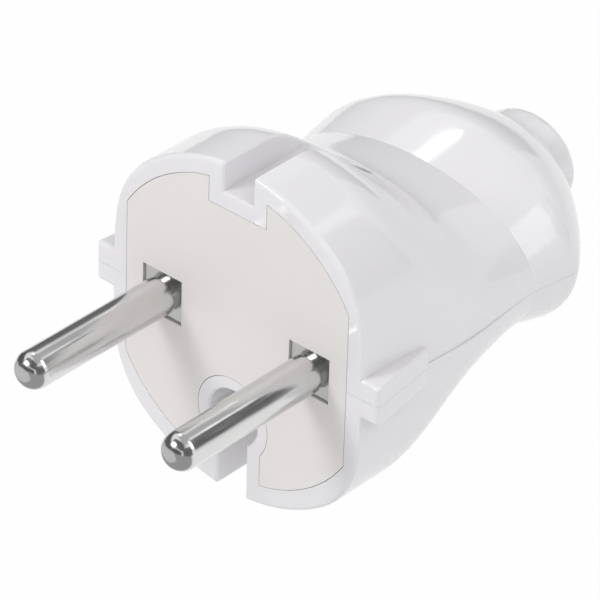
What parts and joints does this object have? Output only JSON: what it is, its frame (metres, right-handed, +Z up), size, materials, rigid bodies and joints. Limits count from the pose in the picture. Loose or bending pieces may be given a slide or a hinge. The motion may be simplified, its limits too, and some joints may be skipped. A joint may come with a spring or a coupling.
{
  "type": "electrical plug",
  "caption": "Rewireable unearthed mains plug: round pins on a flush carrier plate, split oval housing with side ribs, clip notch, earth-pin keyhole and a cord inlet.",
  "frame": {"origin": "centre of the engagement face, midway between the pins", "axes": "+X from the left pin to the right pin, +Y back from the face to the cord inlet, +Z up towards the clip notch"},
  "size_m": [0.0364, 0.0643, 0.0372],
  "materials": {
    "housing": "glossy white moulding",
    "plate": "satin warm light grey moulding",
    "pins": "polished nickel plating",
    "screws": "zinc plated, slotted cheese head",
    "clamp": "plain moulding"
  },
  "bodies": {
    "root": {"upper_shell": "housing", "lower_shell": "housing", "face_plate": "plate", "left_pin": "pins", "right_pin": "pins", "left_terminal_screw": "screws", "right_terminal_screw": "screws", "case_screw": "screws", "cord_clamp": "clamp", "left_clamp_screw": "screws", "right_clamp_screw": "screws"}
  },
  "joints": []
}
